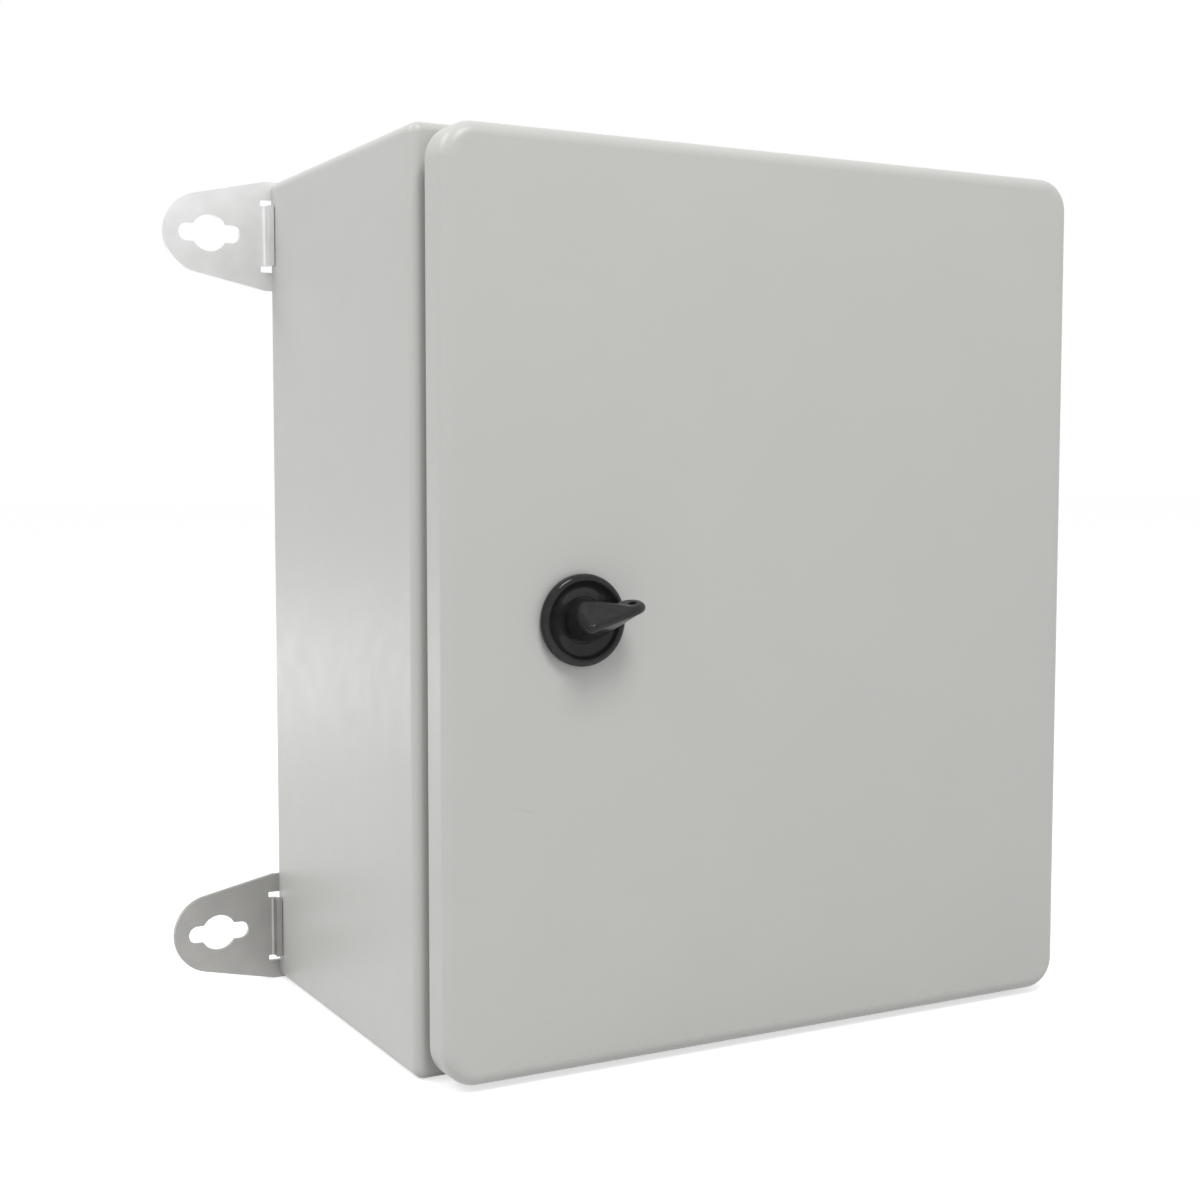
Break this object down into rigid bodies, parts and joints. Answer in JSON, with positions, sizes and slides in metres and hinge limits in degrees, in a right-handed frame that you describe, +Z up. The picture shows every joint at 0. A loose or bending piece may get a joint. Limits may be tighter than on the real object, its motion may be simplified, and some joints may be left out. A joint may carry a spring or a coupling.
{
  "type": "steel wall enclosure",
  "caption": "Folded steel wall enclosure with a hinged flanged door, foamed seal, quarter-turn wing lock, mounting plate and slotted wall brackets.",
  "frame": {"origin": "centre of the four wall slots, in the plane of the wall", "axes": "+X to the right of the door, +Y into the wall, +Z up; the door faces -Y"},
  "size_m": [0.3308, 0.174, 0.3],
  "materials": {
    "powder_coat": "light grey textured powder coat, satin",
    "zinc_plated": "bright zinc plating",
    "galvanised": "galvanised sheet with a faint spangle",
    "bright_steel": "zinc-plated steel fasteners",
    "black_gloss": "glossy black moulding",
    "foam_seal": "dark foamed-in seal, matt skin",
    "rubber_seal": "black sheet rubber"
  },
  "bodies": {
    "root": {"body_shell": "powder_coat", "back_panel": "powder_coat", "bracket_top_left": "zinc_plated", "bracket_top_right": "zinc_plated", "bracket_bottom_left": "zinc_plated", "bracket_bottom_right": "zinc_plated", "bracket_bolts": "bright_steel", "bracket_seal_washers": "rubber_seal", "mounting_plate": "galvanised", "plate_studs": "bright_steel", "plate_spacers": "bright_steel", "plate_washers": "bright_steel", "plate_nuts": "bright_steel", "gland_plate": "powder_coat", "gland_seal": "rubber_seal", "gland_studs": "bright_steel", "gland_nuts": "bright_steel", "body_earth_stud": "bright_steel", "body_earth_nut": "bright_steel", "hinge_leaf_body_upper": "zinc_plated", "hinge_leaf_body_lower": "zinc_plated", "hinge_pin_upper": "bright_steel", "hinge_pin_lower": "bright_steel", "body_leaf_screws": "bright_steel", "body_leaf_nuts": "bright_steel"},
    "door": {"door_panel": "powder_coat", "door_seal": "foam_seal", "hinge_leaf_door_upper": "zinc_plated", "hinge_leaf_door_lower": "zinc_plated", "door_leaf_screws": "bright_steel", "door_leaf_nuts": "bright_steel", "door_earth_stud": "bright_steel", "door_earth_nut": "bright_steel", "lock_housing": "black_gloss", "lock_rose_seal": "rubber_seal", "lock_nut": "bright_steel"},
    "latch": {"wing_knob": "black_gloss", "lock_cam": "zinc_plated", "cam_washer": "bright_steel", "cam_screw": "bright_steel"}
  },
  "joints": [
    {"name": "door_hinge", "type": "hinge", "parent": "root", "child": "door", "pos_m": [0.1212, -0.1408, 0], "axis": [0, 0, 1], "range_deg": [0, 120]},
    {"name": "lock_turn", "type": "hinge", "parent": "door", "child": "latch", "pos_m": [-0.077, -0.157, -0.0035], "axis": [0, 1, 0], "range_deg": [0, 90]}
  ]
}
